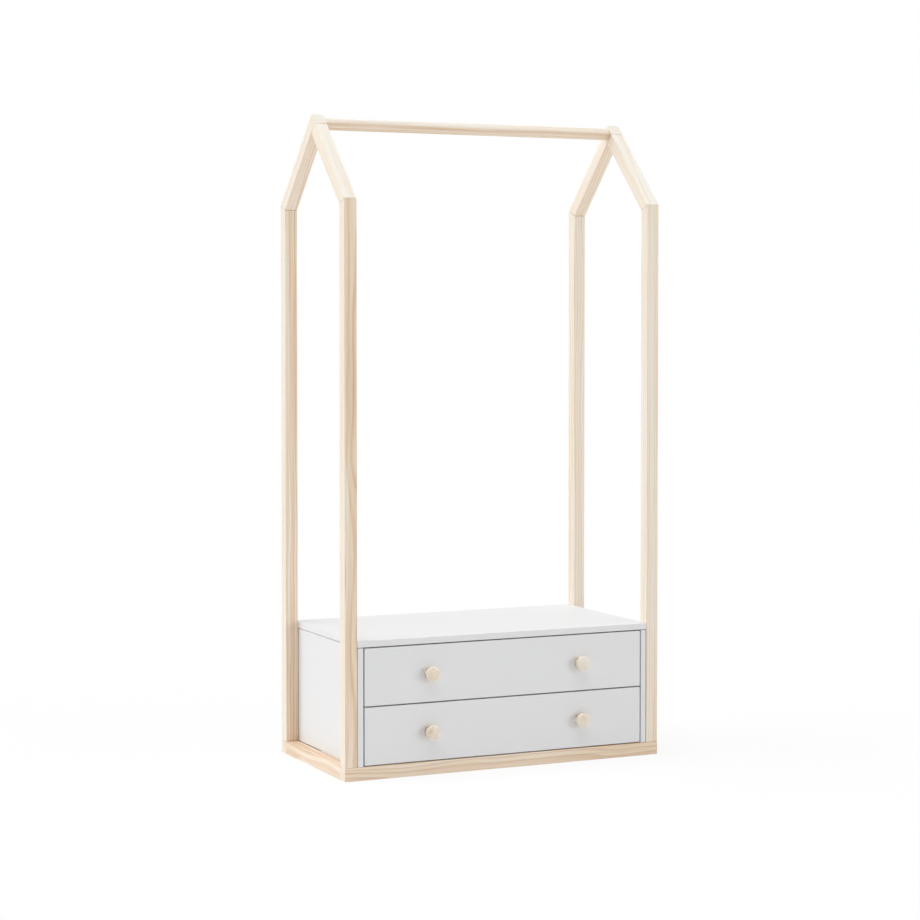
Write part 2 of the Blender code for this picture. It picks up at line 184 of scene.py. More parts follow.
class Graph:
    """A tree of shader nodes, each added by the one method node."""

    def __init__(self, tree: bpy.types.NodeTree) -> None:
        """Wraps the tree of a material or a world."""
        self.tree = tree

    def node(
        self,
        kind: str,
        settings: Optional[Dict[str, Any]] = None,
        sockets: Optional[Dict[Union[int, str], Any]] = None,
        output: Union[int, str] = 0,
    ) -> Value:
        """Adds one node.

        Args:
            kind: Blender's name for the node's type.
            settings: its properties, which are set first.
            sockets: the values or links of its inputs.
            output: the output that is wanted.

        Returns:
            That output, ready for more maths.
        """
        made = self.tree.nodes.new(kind)
        for key, value in (settings or {}).items():
            setattr(made, key, value)
        for key, value in (sockets or {}).items():
            self.feed(made.inputs[key], value)
        return Value(self, made.outputs[output])

    def feed(self, socket: bpy.types.NodeSocket, value: Any) -> None:
        """Links a value to an input, or writes the number or colour there."""
        if isinstance(value, Value):
            self.tree.links.new(value.socket, socket)
        else:
            socket.default_value = value

    def place(self) -> Value:
        """Returns the point on the piece, in metres."""
        return self.node("ShaderNodeTexCoord", output="Object")

    def seen(self) -> Value:
        """Returns 1 for rays from the camera, in gloss or through glass, and 0 for others."""
        kinds = ("Is Camera Ray", "Is Glossy Ray", "Is Transmission Ray")
        camera, gloss, glass = (self.node("ShaderNodeLightPath", output=kind) for kind in kinds)
        return camera.larger(gloss).larger(glass)

    def vector(
        self, operation: str, *operands: Any, output: str = "Vector", **named: Any
    ) -> Value:
        """Adds a Vector Math node on operands in order, and on inputs given by name."""
        sockets = {**dict(enumerate(operands)), **named}
        return self.node("ShaderNodeVectorMath", {"operation": operation}, sockets, output)

    def reach(self, vector: Value, way: Point) -> Value:
        """Returns how far a vector reaches along a way."""
        return self.vector("DOT_PRODUCT", vector, way, output="Value")

    def scaled(self, colour: Value, factor: Operand) -> Value:
        """Returns a colour or vector times a number."""
        return self.vector("SCALE", colour, Scale=factor)

    def joined(self, x: Operand, y: Operand, z: Operand) -> Value:
        """Returns the vector of three numbers."""
        return self.node("ShaderNodeCombineXYZ", None, {0: x, 1: y, 2: z})

    def noise(self, place: Value, detail: float = 2.0, output: str = "Fac") -> Value:
        """Returns smooth noise that changes about once a unit of place."""
        sockets = {"Vector": place, "Scale": 1.0, "Detail": detail}
        return self.node("ShaderNodeTexNoise", None, sockets, output)

    def speckle(self, per_metre: float, detail: float = 2.0) -> Value:
        """Returns smooth noise on the piece that changes about so often in a metre."""
        return self.noise(self.scaled(self.place(), per_metre), detail)

    def mixed(self, factor: Operand, first: Any, second: Any) -> Value:
        """Returns a colour between two, the second at factor 1."""
        sockets = {0: factor, 6: first, 7: second}
        return self.node("ShaderNodeMix", {"data_type": "RGBA"}, sockets, 2)


class Shader(Graph):
    """A material's nodes, from its coordinates to its Principled shader."""

    def __init__(self, name: str) -> None:
        """Makes the material, with a Principled shader alone.

        Args:
            name: the material's name.
        """
        self.material = bpy.data.materials.new(name)
        self.material.use_nodes = True
        super().__init__(self.material.node_tree)
        self.surface = self.tree.nodes["Principled BSDF"]

    def finish(
        self, colour: Value, roughness: Operand, height: Optional[Value] = None, relief: float = 0.0
    ) -> bpy.types.Material:
        """Feeds the Principled shader.

        Args:
            colour: its base colour.
            roughness: its roughness.
            height: the surface's height, from 0 to 1, if it has any relief.
            relief: how far height 1 stands over height 0.

        Returns:
            The material.
        """
        self.feed(self.surface.inputs["Base Color"], colour)
        self.feed(self.surface.inputs["Roughness"], roughness)
        if height is not None:
            bump = self.node("ShaderNodeBump", None, {"Height": height, "Distance": relief})
            self.feed(self.surface.inputs["Normal"], bump)
        return self.material


def opaque(colour: Triple) -> Tuple[float, float, float, float]:
    """Returns a colour with an alpha of 1."""
    return (*colour, 1.0)


# Finishes


@dataclass(frozen=True)
class Grain:
    """Where a piece lay in its log, and its tones, from 0 for pale to 1 for ruddy.

    Attributes:
        pith: where the tree's heart ran, as offsets from the middle along across and up.
        tones: of its long faces at -across, +across, -up and +up; set apart, they paint light and
            shade, paler on faces towards a lamp and ruddier in shade.
        end: tone of its sawn ends.
        painted_shade_lean: how much ruddier it grows towards the start of its length, as painted
            shade.
        shift: how far along the log its middle lay.
    """

    pith: Pair = (0.02, 0.03)
    tones: Tuple[float, float, float, float] = (0.3, 0.3, 0.3, 0.3)
    end: float = 0.3
    painted_shade_lean: float = 0.0
    shift: float = 0.0


@dataclass(frozen=True)
class Cut:
    """A piece as it was sawn.

    Attributes:
        middle: the piece's middle.
        along: the way of its fibres.
        across: a way square to them.
        half: half its size along across and up, where up is square to both.
        grain: its place in the log.
        half_length: half its length along its fibres.
    """

    middle: Point
    along: Point
    across: Point
    half: Sequence[float]
    grain: Grain
    half_length: float = 1.0


@dataclass(frozen=True)
class Pattern:
    """Smooth noise in wood.

    Attributes:
        across: how often it changes in a metre across the fibres, or in a ring.
        along: how often it changes in a metre along them.
        detail: how many finer layers it has.
        layer: which slice of noise its rings are looked up in.
    """

    across: float
    along: float
    detail: float = 2.0
    layer: float = 0.0

    def at(self, shader: Shader, u: Value, v: Value, w: Value, output: str = "Fac") -> Value:
        """Returns the noise at a point, across the fibres and along them."""
        place = shader.joined(u * self.across, v * self.across, w * self.along)
        return shader.noise(place, self.detail, output)

    def on_ring(self, shader: Shader, rings: Value, w: Value) -> Value:
        """Returns the noise on a growth ring, so that its patches follow the rings."""
        place = shader.joined(rings * self.across, w * self.along, self.layer)
        return shader.noise(place, self.detail)


# In order: tones and hues of groups of rings, broad clouds, fine streaks, fibres, resin canals, the
# drift of the log's heart, and the ripple of its rings
BANDS = Pattern(0.58, 1.3)
HUES = Pattern(0.41, 0.8, 1.0, 7.0)
CLOUDS = Pattern(45.0, 2.2)
STREAKS = Pattern(330.0, 2.6)
FIBRES = Pattern(950.0, 16.0)
CANALS = Pattern(1500.0, 45.0, 1.0)
DRIFT = Pattern(9.0, 2.1)
RIPPLE = Pattern(160.0, 9.0, 1.0)


@dataclass(frozen=True)
class WoodFinish:
    """Planed wood under clear matt lacquer, as growth rings round the log's heart.

    Attributes:
        tints: its colours from pale sapwood to the ruddiest wood, half a tone apart.
        latewood: colour of a ring's dark line.
        ring: width of a growth ring.
        sway: how far the heart wanders as it runs along the log.
        bands: how far groups of rings differ in tone.
        clouds: how far broad patches along the fibres differ in tone.
        streaks: how far fine streaks differ in tone.
        blush: how far groups of rings turn pinkish or yellowish.
        figure: strength of the dark lines, from 0 to 1.
        roughness: of pale wood.
        canal_noise: the noise between which a resin canal opens.
        end_slant: how squarely a face looks along the fibres where it turns into an end.
        year: shares of a ring where its dark line starts, is darkest and ends.
        ripple: how far a ring is rippled, in rings.
        edge_fade: from an edge, where its wear and its painted highlight start to fade and have
            gone.
        turn_width: half the width, about a face's middle, of a change between two tones.
        edge_blend: the same about a long edge, as a share of the piece's half size.
        relief: height of its fibres.
    """

    tints: Tuple[Triple, ...] = (
        (0.945, 0.926, 0.848),
        (0.963, 0.83, 0.672),
        (0.895, 0.705, 0.522),
        (0.80, 0.60, 0.42),
    )
    latewood: Triple = (0.69, 0.45, 0.28)
    ring: float = 0.0058
    sway: float = 0.012
    bands: float = 1.9
    clouds: float = 1.0
    streaks: float = 1.15
    blush: float = 0.05
    figure: float = 0.85
    roughness: float = 0.46
    canal_noise: Pair = (0.68, 0.82)
    end_slant: Pair = (0.75, 0.95)
    year: Triple = (0.3, 0.86, 1.0)
    ripple: float = 0.3
    edge_fade: Pair = (0.0006, 0.0032)
    turn_width: float = 0.001
    edge_blend: float = 0.03
    relief: float = 0.00012

    def material(self, name: str, cut: Cut) -> bpy.types.Material:
        """Makes the material of one piece.

        Its tone is its face's tone, changed by bands of rings, clouds along the fibres and fine
        streaks, all of them fainter on pale wood. The dark line of each ring and the fibres are
        laid over that colour.

        Args:
            name: the material's name.
            cut: how the piece was sawn.

        Returns:
            The material.
        """
        shader = Shader(name)
        grain = cut.grain
        offset = shader.vector("SUBTRACT", shader.place(), cut.middle)
        u = shader.reach(offset, cut.across)
        v = shader.reach(offset, np.cross(cut.along, cut.across))
        length = shader.reach(offset, cut.along)
        w = length + grain.shift
        normal = shader.node("ShaderNodeNewGeometry", output="Normal")
        end = abs(shader.reach(normal, cut.along)).step(*self.end_slant)

        rings = self.ring_count(shader, u, v, w, grain.pith)
        late = self.late_line(shader, rings)
        band, warm = BANDS.on_ring(shader, rings, w), HUES.on_ring(shader, rings, w)
        cloud, streak = CLOUDS.at(shader, u, v, w), STREAKS.at(shader, u, v, w)
        fibre = FIBRES.at(shader, u, v, w)
        canal = CANALS.at(shader, u, v, w).step(*self.canal_noise)

        # The faces' tones and the lean along the length paint light and shade where a piece's grain
        # sets them apart.
        tone = self.face_tone(u, v, cut) - length * (grain.painted_shade_lean / cut.half_length)
        tone = tone * (1 - end) + grain.end * end
        change = self.bands * (band - 0.5) * (1 - 0.7 * end) + self.clouds * (cloud - 0.5)
        tone = tone + (change + self.streaks * (streak - 0.5)) * (0.15 + 1.0 * tone)
        colour = self.tinted(shader, tone)
        hue = self.blush * (warm - 0.5)
        colour = shader.vector("MULTIPLY", colour, shader.joined(1 + hue, 1 - hue, 1.0))
        line = late * (self.figure * (0.1 + 0.9 * tone)) * (1 - 0.5 * end)
        colour = shader.mixed(line, colour, opaque(self.latewood))
        half_u, half_v = cut.half
        near_edge = 1 - ((half_u - abs(u)) + (half_v - abs(v))).step(*self.edge_fade)
        # Near the edges the colour is lighter, a painted highlight on the arrises, and the roughness
        # lower, as wear.
        shade = 0.977 + 0.05 * fibre + 0.02 * near_edge - 0.07 * canal - 0.03 * end
        roughness = self.roughness + 0.12 * fibre - 0.06 * late - 0.05 * near_edge + 0.1 * end
        height = 0.3 * fibre + 0.35 * streak + 0.3 * late - 0.15 * canal
        return shader.finish(shader.scaled(colour, shade), roughness, height, self.relief)

    def tinted(self, shader: Shader, tone: Value) -> Value:
        """Colours the wood: the first tint at tone 0, and the next one each half a tone on.

        Args:
            shader: the material's nodes.
            tone: how ruddy the wood is.

        Returns:
            The colour.
        """
        colour: Any = opaque(self.tints[0])
        for number, tint in enumerate(self.tints[1:]):
            colour = shader.mixed(2 * tone - number, colour, opaque(tint))
        return colour

    def ring_count(self, shader: Shader, u: Value, v: Value, w: Value, pith: Pair) -> Value:
        """Counts the rings between the log's heart and a point.

        The count is the distance from the heart, which wanders along the log, over the width of a
        ring, with a small ripple.

        Args:
            shader: the material's nodes.
            u, v, w: the point, across the fibres and along them.
            pith: where the heart runs where it doesn't wander.

        Returns:
            The count, with its fraction.
        """
        drift = DRIFT.at(shader, u, v, w, "Color")
        wander = shader.vector("SUBTRACT", drift, (0.5, 0.5, 0.5))
        off_u = u - pith[0] + shader.reach(wander, (2 * self.sway, 0.0, 0.0))
        off_v = v - pith[1] + shader.reach(wander, (0.0, 2 * self.sway, 0.0))
        distance = (off_u * off_u + off_v * off_v).root()
        return distance / self.ring + self.ripple * RIPPLE.at(shader, u, v, w)

    def late_line(self, shader: Shader, rings: Value) -> Value:
        """Works out a ring's dark line, which grows slowly, ends fast and varies with the year.

        Args:
            shader: the material's nodes.
            rings: how many rings lie between the heart and the point.

        Returns:
            The line's strength, from 0 to 1.
        """
        start, darkest, end = self.year
        share = rings.part()
        settings = {"noise_dimensions": "1D"}
        strength = shader.node("ShaderNodeTexWhiteNoise", settings, {"W": rings.whole()}, "Value")
        line = share.step(start, darkest) * (1 - share.step(darkest, end))
        return line * (0.25 + 0.75 * strength)

    def face_tone(self, u: Value, v: Value, cut: Cut) -> Value:
        """Returns the tone of the long face that a point lies on, which carries the painted light
        and shade of the grain's face tones.

        A point lies on a face square to up where its share of the half size along up is the larger.

        Args:
            u, v: the point, across the fibres.
            cut: how the piece was sawn.

        Returns:
            The tone, which changes smoothly near the piece's edges and its faces' middles.
        """
        low_u, high_u, low_v, high_v = cut.grain.tones
        half_u, half_v = cut.half
        on_v = (abs(v) / half_v - abs(u) / half_u).step(-self.edge_blend, self.edge_blend)
        tone_u = low_u + (high_u - low_u) * u.step(-self.turn_width, self.turn_width)
        tone_v = low_v + (high_v - low_v) * v.step(-self.turn_width, self.turn_width)
        return tone_u * (1 - on_v) + tone_v * on_v


@dataclass(frozen=True)
class PaintFinish:
    """Smooth matt paint on board, with a faint orange-peel texture.

    Attributes:
        colour: of the paint.
        dimmed: share of that colour where it is a touch darker.
        roughness: of its untouched surface.
        gloss: strength of its reflections, where 0.5 is plain lacquer's.
        clouds: how often its colour changes in a metre.
        smears: how often its sheen changes in a metre.
        texture: how many grains of orange peel there are in a metre.
        relief: height of those grains.
        edge_fade: from an edge, where its wear starts to fade and has gone.
    """

    colour: Triple = (0.871, 0.876, 0.884)
    dimmed: float = 0.992
    roughness: float = 0.56
    gloss: float = 0.35
    clouds: float = 4.0
    smears: float = 31.0
    texture: float = 650.0
    relief: float = 0.000012
    edge_fade: Pair = (0.0006, 0.0030)

    def material(self, name: str, low: np.ndarray, high: np.ndarray) -> bpy.types.Material:
        """Makes the material of one board.

        An edge is where the distances to the two nearest faces of the board's box are both small.

        Args:
            name: the material's name.
            low: the board's lowest corner.
            high: its highest corner.

        Returns:
            The material.
        """
        shader = Shader(name)
        offset = shader.vector("SUBTRACT", shader.place(), (low + high) / 2)
        ways = (WIDTH_WAY, DEPTH_WAY, HEIGHT_WAY)
        depths = [
            half - abs(shader.reach(offset, way))
            for way, half in zip(ways, ((high - low) / 2).tolist())
        ]
        total = depths[0] + depths[1] + depths[2]
        near_edge = 1 - (total - depths[0].larger(depths[1]).larger(depths[2])).step(*self.edge_fade)
        cloud = shader.speckle(self.clouds, 3.0)
        smear, peel = shader.speckle(self.smears), shader.speckle(self.texture)
        dim = tuple(self.dimmed * part for part in self.colour)
        colour = shader.mixed(cloud, opaque(self.colour), opaque(dim))
        colour = shader.scaled(colour, 0.998 + 0.006 * peel - 0.01 * near_edge)
        roughness = self.roughness + 0.10 * (smear - 0.5) + 0.06 * (peel - 0.5) - 0.06 * near_edge
        shader.surface.inputs["Specular IOR Level"].default_value = self.gloss
        return shader.finish(colour, roughness, peel, self.relief)


@dataclass(frozen=True)
class HardboardFinish:
    """Thin pressed fibre sheet, painted off-white, with the mesh of the press faintly in it.

    Attributes:
        colour, fleck: of the paint, and of the fibres that show through it.
        pitch: from one ridge of the mesh to the next.
        fibres: how many fibres there are in a metre.
        fleck_noise: the noise between which a fibre shows.
        clouds: how often the flecks grow stronger and fainter in a metre.
        roughness: of the paint.
        relief: height of the ridges.
    """

    colour: Triple = (0.80, 0.79, 0.76)
    fleck: Triple = (0.70, 0.67, 0.61)
    pitch: float = 0.0016
    fibres: float = 420.0
    fleck_noise: Pair = (0.52, 0.75)
    clouds: float = 6.0
    roughness: float = 0.52
    relief: float = 0.00003

    def material(self, name: str) -> bpy.types.Material:
        """Makes the material: flecks of fibre and a grid of low ridges one pitch apart.

        Args:
            name: the material's name.

        Returns:
            The material.
        """
        shader = Shader(name)
        flecks, cloud = shader.speckle(self.fibres, 4.0), shader.speckle(self.clouds, 3.0)
        wave = shader.vector("SINE", shader.scaled(shader.place(), 2 * math.pi / self.pitch))
        ridges = shader.reach(wave, (0.3, 0.3, 0.3))
        factor = flecks.step(*self.fleck_noise) * (0.35 + 0.3 * cloud)
        colour = shader.mixed(factor, opaque(self.colour), opaque(self.fleck))
        roughness = self.roughness + 0.16 * flecks
        return shader.finish(colour, roughness, ridges + flecks * 0.5, self.relief)


@dataclass(frozen=True)
class SteelFinish:
    """Zinc-plated steel with drawn lines in it and the faint spangle of the plating.

    Attributes:
        colour, dull: of the bright steel, and of its dull patches.
        roughness: of the bright steel.
        lines: how often the drawn lines change in a metre along X, Y and Z.
        spangles: how many crystals of zinc there are in a metre.
        clouds: how often bright and dull change in a metre.
        dull_noise: the noise between which the steel grows dull.
        relief: height of the drawn lines.
    """

    colour: Triple = (0.62, 0.63, 0.65)
    dull: Triple = (0.50, 0.51, 0.53)
    roughness: float = 0.30
    lines: Triple = (1800.0, 25.0, 1800.0)
    spangles: float = 260.0
    clouds: float = 45.0
    dull_noise: Pair = (0.35, 0.7)
    relief: float = 0.00001

    def material(self, name: str) -> bpy.types.Material:
        """Makes the material: lines drawn out along one way over a cloudy plating.

        Args:
            name: the material's name.

        Returns:
            The material.
        """
        shader = Shader(name)
        place = shader.place()
        drawn = shader.noise(shader.vector("MULTIPLY", place, self.lines))
        sockets = {"Vector": place, "Scale": self.spangles}
        spangle = shader.node("ShaderNodeTexVoronoi", None, sockets, "Distance")
        mask = (0.6 * shader.speckle(self.clouds, 3.0) + 0.4 * drawn).step(*self.dull_noise)
        colour = shader.mixed(mask, opaque(self.colour), opaque(self.dull))
        roughness = self.roughness + 0.14 * (drawn - 0.5) + 0.08 * spangle + 0.08 * mask
        shader.surface.inputs["Metallic"].default_value = 1.0
        return shader.finish(colour, roughness, drawn, self.relief)


RUNNER_STEEL = SteelFinish()
SCREW_STEEL = SteelFinish((0.60, 0.58, 0.52), (0.48, 0.46, 0.41), 0.34, (900.0, 900.0, 900.0))
PIN_STEEL = SteelFinish(lines=(700.0, 700.0, 700.0))


# Shapes


def circle(angle: np.ndarray) -> np.ndarray:
    """Returns the point (cos a, sin a) of each angle, one row each."""
    return np.stack([np.cos(angle), np.sin(angle)], 1)


def square_to(axis: Point) -> np.ndarray:
    """Returns, as rows, two ways square to each other and to an axis along X, Y or Z."""
    across = np.roll(axis, 1)
    return np.stack([across, np.cross(axis, across)])


@dataclass(frozen=True)
class Plane:
    """A saw cut, as a point on it and its normal."""

    point: Point
    normal: Point


@dataclass(frozen=True)
class Edges:
    """The rounding of a bar.

    Attributes:
        radius: of its long edges.
        ease: how far the edges of its ends are rounded over, less than radius.
        steps: facets in each quarter turn.
    """

    radius: float
    ease: float
    steps: int = 3


@dataclass(frozen=True)
class Bar:
    """A rectangle with rounded corners, carried along a line between two saw cuts.

    Attributes:
        middle: a point on its centre line.
        along: the way that it is carried.
        across: a way square to it.
        size: its size along across, and square to both.
        start, end: the cuts, start first along the line.
        edges: its rounding.
    """

    middle: Point
    along: Point
    across: Point
    size: Sequence[float]
    start: Plane
    end: Plane
    edges: Edges

    def points(self) -> Rings:
        """Works out the bar's rings of points.

        The outline's point = corner centre + (radius - inset) * (cos a, sin a), with a once round.
        A ring's inset is ease * (1 - cos t), and it stands ease * (1 - sin t) back from its cut, for
        t from 0 to a quarter turn. Each point slides along the bar until it reaches that place.

        Returns:
            Its rings of points.
        """
        count, ease = self.edges.steps + 1, self.edges.ease
        quarter = np.linspace(0, np.pi / 2, count)
        angle = (np.arange(4)[:, None] * np.pi / 2 + quarter).ravel()
        signs = np.repeat(np.array([(1, 1), (-1, 1), (-1, -1), (1, -1)]), count, axis=0)
        corner = signs * (np.array(self.size) / 2 - self.edges.radius)
        turn = np.concatenate([quarter[::-1], quarter])
        radius = self.edges.radius - ease * (1 - np.cos(turn))
        flat = corner + radius[:, None, None] * circle(angle)
        base = self.middle + flat @ np.stack([self.across, np.cross(self.along, self.across)])

        at_end = np.repeat([0, 1], count)
        point = np.array([self.start.point, self.end.point])[at_end][:, None]
        normal = np.array([self.start.normal, self.end.normal])[at_end][:, None]
        reach = ((point - base) * normal).sum(-1) / (normal @ self.along)
        reach -= ((2 * at_end - 1) * ease * (1 - np.sin(turn)))[:, None]
        return base + reach[..., None] * self.along


def turned(profile: np.ndarray, origin: Point, axis: Point, sides: int) -> Rings:
    """Turns a profile about an axis.

    Point = origin + axis * distance + radius * (cos a * across + sin a * up), with a once round.

    Args:
        profile: rows of radius and distance along the axis, rising along it.
        origin: where distance is 0.
        axis: the unit way of the axis.
        sides: how many points go round.

    Returns:
        Its rings of points.
    """
    spoke = circle(np.linspace(0, 2 * np.pi, sides, endpoint=False)) @ square_to(axis)
    radius, distance = profile.T[..., None, None]
    return origin + distance * axis + radius * spoke


def smooth_profile(knots: Sequence[Pair], count: int) -> np.ndarray:
    """Draws a smooth line through a profile's points.

    Between two points the line is the cubic that has, at each, the slope between its neighbours.

    Args:
        knots: the points.
        count: how many points the line has between two of them.

    Returns:
        The line's points, one row each.
    """
    points = np.array(knots, float)
    padded = np.concatenate([points[:1], points, points[-1:]])
    before, near, far, after = padded[:-3], padded[1:-2], padded[2:-1], padded[3:]
    t = np.linspace(0, 1, count, endpoint=False)[None, :, None]
    slope_in, slope_out = (far - before)[:, None] / 2, (after - near)[:, None] / 2
    line = (
        (2 * t**3 - 3 * t**2 + 1) * near[:, None]
        + (t**3 - 2 * t**2 + t) * slope_in
        + (3 * t**2 - 2 * t**3) * far[:, None]
        + (t**3 - t**2) * slope_out
    )
    return np.concatenate([line.reshape(-1, 2), points[-1:]])


def channel_section(depth: float, half_height: float, bend: float, sheet: float) -> np.ndarray:
    """Outlines a rolled channel, whose web is at 0 and whose flanges end at depth.

    Point = bend centre + radius * (cos a, sin a): the outer line has the bend's radius, and the
    inner line has that radius less the sheet's thickness.

    Args:
        depth: of its flanges.
        half_height: half its outer height.
        bend: outer radius of its bends.
        sheet: thickness of its steel.

    Returns:
        Rows of distance and height, once round.
    """
    arc = circle(np.linspace(np.pi / 2, np.pi, 6))
    centre = (bend, half_height - bend)
    outer, inner = (
        np.concatenate([[(depth, half_height - skin)], centre + (bend - skin) * arc])
        for skin in (0.0, sheet)
    )
    flip = (1, -1)
    return np.concatenate([outer, outer[::-1] * flip, inner * flip, inner[::-1]])


@dataclass(frozen=True)
class Head:
    """A screw's or a pin's round head, with a cross recess if it has one.

    Attributes:
        radius, height: of the head.
        crown: how far its middle stands over its rim.
        slot: half the width of each arm of the cross, or 0 for none.
        deep: depth of the cross.
        sides: points round it.
    """

    radius: float
    height: float
    crown: float
    slot: float = 0.0
    deep: float = 0.0
    sides: int = 32

    def points(self, seat: Point, axis: Point) -> Rings:
        """Works out the head, seated on a point, with axis pointing out of the surface.

        Its top is height = rim + crown * (1 - (r / radius)^2), less the cross: the cross is as deep
        where the smaller of |x| and |y| is under slot, and it ends at two thirds of the radius. Its
        underside is a fiftieth narrower than its rim, which starts a tenth of the way up.

        Args:
            seat: the middle of its underside.
            axis: the unit way out.

        Returns:
            Its rings of points.
        """
        angle = np.linspace(0, 2 * np.pi, self.sides, endpoint=False)
        share = np.concatenate([[0.98, 1.0, 1.0], np.linspace(0.9, 0.06, 8)])[:, None]
        flat = self.radius * share[..., None] * circle(angle)
        height = self.height - self.crown * share**2 + 0 * angle
        height[:2] = [[0.0], [0.1 * self.height]]
        if self.slot:
            arm = np.clip(2 - np.abs(flat).min(-1) / self.slot, 0, 1)
            reach = np.clip((2 / 3 - share) * 6, 0, 1)
            height[3:] -= (self.deep * arm * reach)[3:]
        return seat + flat @ square_to(axis) + height[..., None] * axis


def ring_faces(rings: int, around: int) -> List[List[int]]:
    """Joins rings of points with quads, and closes each end with one face.

    Args:
        rings: how many rings there are.
        around: how many points each has.

    Returns:
        The corners of each face, as the numbers of its points.
    """
    index = np.arange(rings * around).reshape(rings, around)
    following = np.roll(index, -1, axis=1)
    quads = np.stack([index[:-1], following[:-1], following[1:], index[1:]], axis=2)
    return [*quads.reshape(-1, 4).tolist(), index[0, ::-1].tolist(), index[-1].tolist()]


def is_inside_out(shape: Rings) -> bool:
    """Tells whether rings of points run so that their faces point in.

    It adds up the volume of each quad between two rings and each end, as seen from the shape's
    middle: a sixth of the sum of a . (b x c) over the triangles a, b, c of every face.

    Args:
        shape: the rings.

    Returns:
        Whether that volume is negative.
    """
    offset = shape - shape.mean((0, 1))
    following = np.roll(offset, -1, axis=1)
    near, far = offset[:-1], offset[1:]
    sides = np.cross(near, following[:-1]) * following[1:] + np.cross(near, following[1:]) * far
    ends = np.cross(offset[[0, -1]], following[[0, -1]])
    caps = (ends.sum(1) * offset[[0, -1]].mean(1)).sum(-1)
    return bool(sides.sum() + caps[1] - caps[0] < 0)


def closed_mesh(name: str, shapes: Sequence[Rings]) -> bpy.types.Mesh:
    """Makes one mesh of closed shapes, each turned so that its faces point out.

    Args:
        name: the mesh's name.
        shapes: the rings of each.

    Returns:
        The mesh, smooth but for its sharp edges.
    """
    points: List[List[float]] = []
    faces: List[List[int]] = []
    for shape in shapes:
        first = len(points)
        points += shape.reshape(-1, 3).tolist()
        order = -1 if is_inside_out(shape) else 1
        for face in ring_faces(*shape.shape[:2]):
            faces.append([first + corner for corner in face[::order]])
    mesh = bpy.data.meshes.new(name)
    mesh.from_pydata(points, [], faces)
    mesh.shade_smooth()
    mesh.set_sharp_from_angle(angle=SHARP_ANGLE)
    return mesh


def add_piece(
    name: str,
    shapes: Sequence[Rings],
    body: str,
    material: bpy.types.Material,
    replaced: Sequence[str] = (),
) -> bpy.types.Object:
    """Makes one piece of closed shapes, ties it to its body and hides the CAD nodes that it stands
    for.

    Args:
        name: the piece's name.
        shapes: the rings of each.
        body: the CAD body that it moves with.
        material: its finish.
        replaced: the CAD nodes that it stands for.

    Returns:
        The piece.
    """
    piece = bpy.data.objects.new(name, closed_mesh(name, shapes))
    piece.data.materials.append(material)
    bpy.context.scene.collection.objects.link(piece)
    flat = piece.modifiers.new("flat faces stay flat", "WEIGHTED_NORMAL")
    flat.keep_sharp = True
    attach(piece, body)
    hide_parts(*replaced)
    LOG.info("%s: %d points, on %s", name, len(piece.data.vertices), body)
    return piece


def bore(piece: bpy.types.Object, shapes: Sequence[Rings]) -> None:
    """Cuts closed shapes out of a piece's mesh for good.

    Args:
        piece: what is cut.
        shapes: the rings of each bore.
    """
    cutter = bpy.data.objects.new("bore", closed_mesh("bore", shapes))
    bpy.context.scene.collection.objects.link(cutter)
    cut = piece.modifiers.new("bore", "BOOLEAN")
    cut.object = cutter
    piece.modifiers.move(len(piece.modifiers) - 1, 0)
    flat = piece.modifiers[1]
    flat.show_viewport = False
    solid = piece.evaluated_get(bpy.context.evaluated_depsgraph_get())
    mesh = bpy.data.meshes.new_from_object(solid)
    flat.show_viewport = True
    piece.modifiers.remove(cut)
    piece.data = mesh
    bpy.data.objects.remove(cutter)


def dress(node: str, material: bpy.types.Material) -> None:
    """Gives a CAD node that stays its finish.

    Args:
        node: the CAD node.
        material: its finish.
    """
    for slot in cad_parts[node].material_slots:
        slot.material = material
    LOG.info("%s: dressed as %s", node, material.name)


def corners(node: str) -> Tuple[np.ndarray, np.ndarray]:
    """Returns the lowest and highest corner of a CAD node."""
    low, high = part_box(node)
    return np.array(low), np.array(high)


# Sub-assemblies


@dataclass(frozen=True)
class Timber:
    """The square pine that the frames and the base are made of."""

    edges: Edges = Edges(0.0015, 0.0011)
    wood: WoodFinish = WoodFinish()

    def add(self, node: str, bar: Bar, grain: Grain) -> bpy.types.Object:
        """Makes one length of timber in place of a CAD node.

        Args:
            node: the CAD node.
            bar: its shape, whose fibres run along it.
            grain: its place in the log.

        Returns:
            The piece.
        """
        length = float(np.linalg.norm(np.subtract(bar.end.point, bar.start.point)))
        width, height = (float(size) for size in bar.size)
        cut = Cut(bar.middle, bar.along, bar.across, (width / 2, height / 2), grain, length / 2)
        pine = self.wood.material(f"pine of {node}", cut)
        return add_piece(f"{node}_planed", [bar.points()], "wardrobe", pine, [node])


def post_grain(pith: Pair, pale: float, front: float, shift: float) -> Grain:
    """Returns a post's grain, from the tones of its left face and its front."""
    return Grain(pith, (pale, pale + 0.1, front, front - 0.1), 0.3, 0.0, shift)


# Each post's left face is paler than its front: painted light where the left lamp falls, and painted
# shade on the front.
POST_GRAINS = {
    (Side.LEFT, Face.FRONT): post_grain((0.024, 0.044), 0.29, 0.90, -0.9),
    (Side.LEFT, Face.BACK): post_grain((-0.058, 0.042), 0.29, 0.76, 0.8),
    (Side.RIGHT, Face.FRONT): post_grain((-0.058, 0.030), 0.29, 0.40, 0.9),
    (Side.RIGHT, Face.BACK): post_grain((0.058, 0.042), 0.36, 0.31, 2.6),
}


